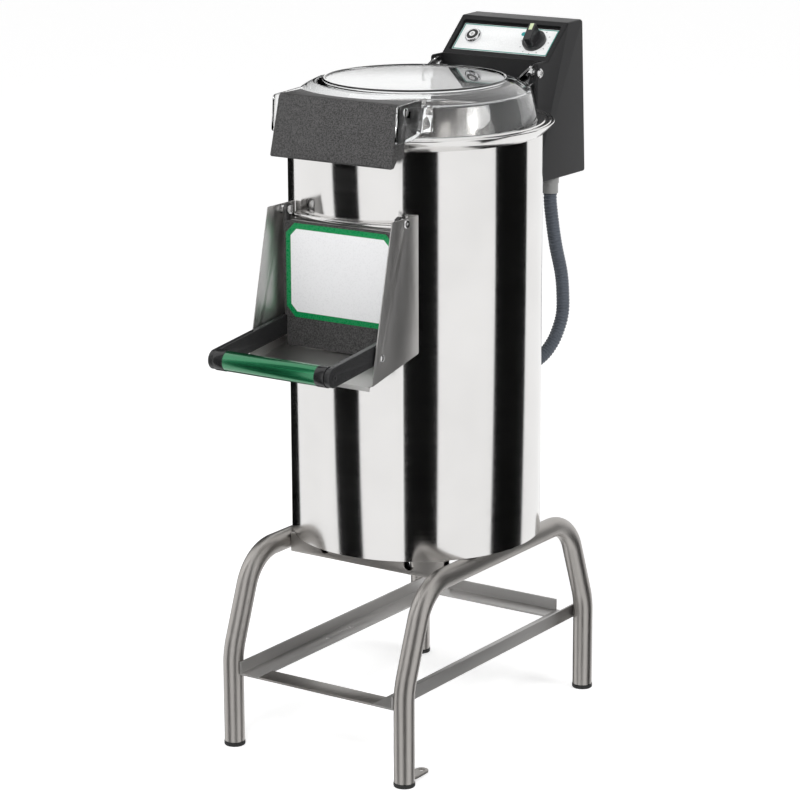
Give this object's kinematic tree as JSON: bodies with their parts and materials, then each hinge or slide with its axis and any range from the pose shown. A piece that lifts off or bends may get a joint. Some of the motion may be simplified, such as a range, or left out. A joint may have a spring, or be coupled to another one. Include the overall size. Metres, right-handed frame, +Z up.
{
  "type": "electric potato peeler",
  "caption": "Floor-standing drum peeler: steel drum on bent tube stand, clear hinged lid, outlet door with grip and chute, rear control box with conduit.",
  "frame": {"origin": "middle of the footprint, on the floor", "axes": "+Z up; the outlet, the door and the latch look along -Y; +X is the machine's left-hand side seen from behind, which is the right of its front view"},
  "size_m": [0.403, 0.6931, 1.0269],
  "materials": {
    "drum_steel": "vertical brushed stainless",
    "rim_steel": "polished stainless",
    "tube_steel": "satin stainless tube and section",
    "bolt_steel": "bright stainless fixings",
    "iron": "dark painted casting",
    "bezel_metal": "bright turned ring",
    "black_plastic": "fine textured black",
    "dark_plastic": "charcoal moulding",
    "rubber": "black rubber",
    "clear_plastic": "clear polycarbonate",
    "door_print": "white sheet with a green edge, no print",
    "panel_print": "white sheet with a thin teal line, no print",
    "green_metal": "metallic green tube",
    "button_plastic": "white push button cap with a dark ring",
    "gland_nylon": "light grey nylon",
    "conduit_pvc": "grey corrugated PVC",
    "abrasive": "coarse abrasive grit"
  },
  "bodies": {
    "machine": {"stand_arch_left": "tube_steel", "stand_arch_right": "tube_steel", "upper_cross_front": "tube_steel", "upper_cross_rear": "tube_steel", "lower_rail_left": "tube_steel", "lower_rail_right": "tube_steel", "lower_rail_rear": "tube_steel", "lower_bar_front": "tube_steel", "box_bracket": "tube_steel", "leg_foot_front_left": "rubber", "leg_foot_front_right": "rubber", "leg_foot_rear_left": "rubber", "leg_foot_rear_right": "rubber", "drive_belt": "rubber", "drum_shell": "drum_steel", "chamber_floor": "drum_steel", "outlet_collar": "drum_steel", "chute_side_left": "drum_steel", "chute_side_right": "drum_steel", "chute_floor": "drum_steel", "drum_rim": "rim_steel", "outlet_hood": "rim_steel", "door_pivot_bolt_left": "bolt_steel", "door_pivot_bolt_right": "bolt_steel", "lid_pivot_bolt_left": "bolt_steel", "lid_pivot_bolt_right": "bolt_steel", "water_inlet": "bolt_steel", "drain_outlet": "bolt_steel", "spindle_bearing": "bolt_steel", "abrasive_liner": "abrasive", "bearing_housing": "iron", "motor_mount": "iron", "motor_body": "iron", "button_bezel": "bezel_metal", "conduit_gland_box": "gland_nylon", "conduit_gland_drum": "gland_nylon", "control_box": "black_plastic", "box_rear_cover": "black_plastic", "power_cable_gland": "black_plastic", "control_label": "panel_print", "conduit": "conduit_pvc"},
    "door": {"door_panel": "dark_plastic", "door_label": "door_print", "door_seal": "rubber", "door_arm_left": "black_plastic", "door_arm_right": "black_plastic", "grip_tube": "green_metal", "grip_sleeve_left": "black_plastic", "grip_sleeve_right": "black_plastic"},
    "lid": {"lid_shell": "clear_plastic", "latch_screw_left": "bolt_steel", "latch_screw_right": "bolt_steel"},
    "latch": {"latch_handle": "dark_plastic"},
    "timer": {"timer_knob": "black_plastic"},
    "button": {"start_button": "button_plastic"},
    "disc": {"abrasive_disc": "abrasive", "spindle": "bolt_steel", "disc_pulley": "iron"},
    "rotor": {"motor_shaft": "bolt_steel", "motor_pulley": "iron"}
  },
  "joints": [
    {"name": "door_hinge", "type": "hinge", "parent": "machine", "child": "door", "pos_m": [0, -0.16255, 0.7967], "axis": [-1, 0, 0], "range_deg": [0, 75]},
    {"name": "lid_hinge", "type": "hinge", "parent": "machine", "child": "lid", "pos_m": [0, 0.21035, 0.96], "axis": [-1, 0, 0], "range_deg": [0, 100]},
    {"name": "latch_hinge", "type": "hinge", "parent": "lid", "child": "latch", "pos_m": [0, -0.16265, 0.9521], "axis": [-1, 0, 0], "range_deg": [0, 12]},
    {"name": "timer_turn", "type": "hinge", "parent": "machine", "child": "timer", "pos_m": [0.052, 0.26255, 1.00024], "axis": [0, 0.6615, -0.75], "range_deg": [0, 300]},
    {"name": "button_press", "type": "slide", "parent": "machine", "child": "button", "axis": [0, 0.6615, -0.75], "range_m": [0, 0.0028], "stiffness_N_per_m": 300, "springref_m": -0.001},
    {"name": "disc_spin", "type": "hinge", "parent": "machine", "child": "disc", "pos_m": [0, 0.02085, 0.45], "axis": [0, 0, 1], "continuous": true},
    {"name": "motor_spin", "type": "hinge", "parent": "machine", "child": "rotor", "pos_m": [0, 0.13285, 0.3545], "axis": [0, 0, 1], "continuous": true}
  ],
  "couplings": [
    {"joint": "motor_spin", "follows": "disc_spin", "ratio": 4.0303}
  ]
}
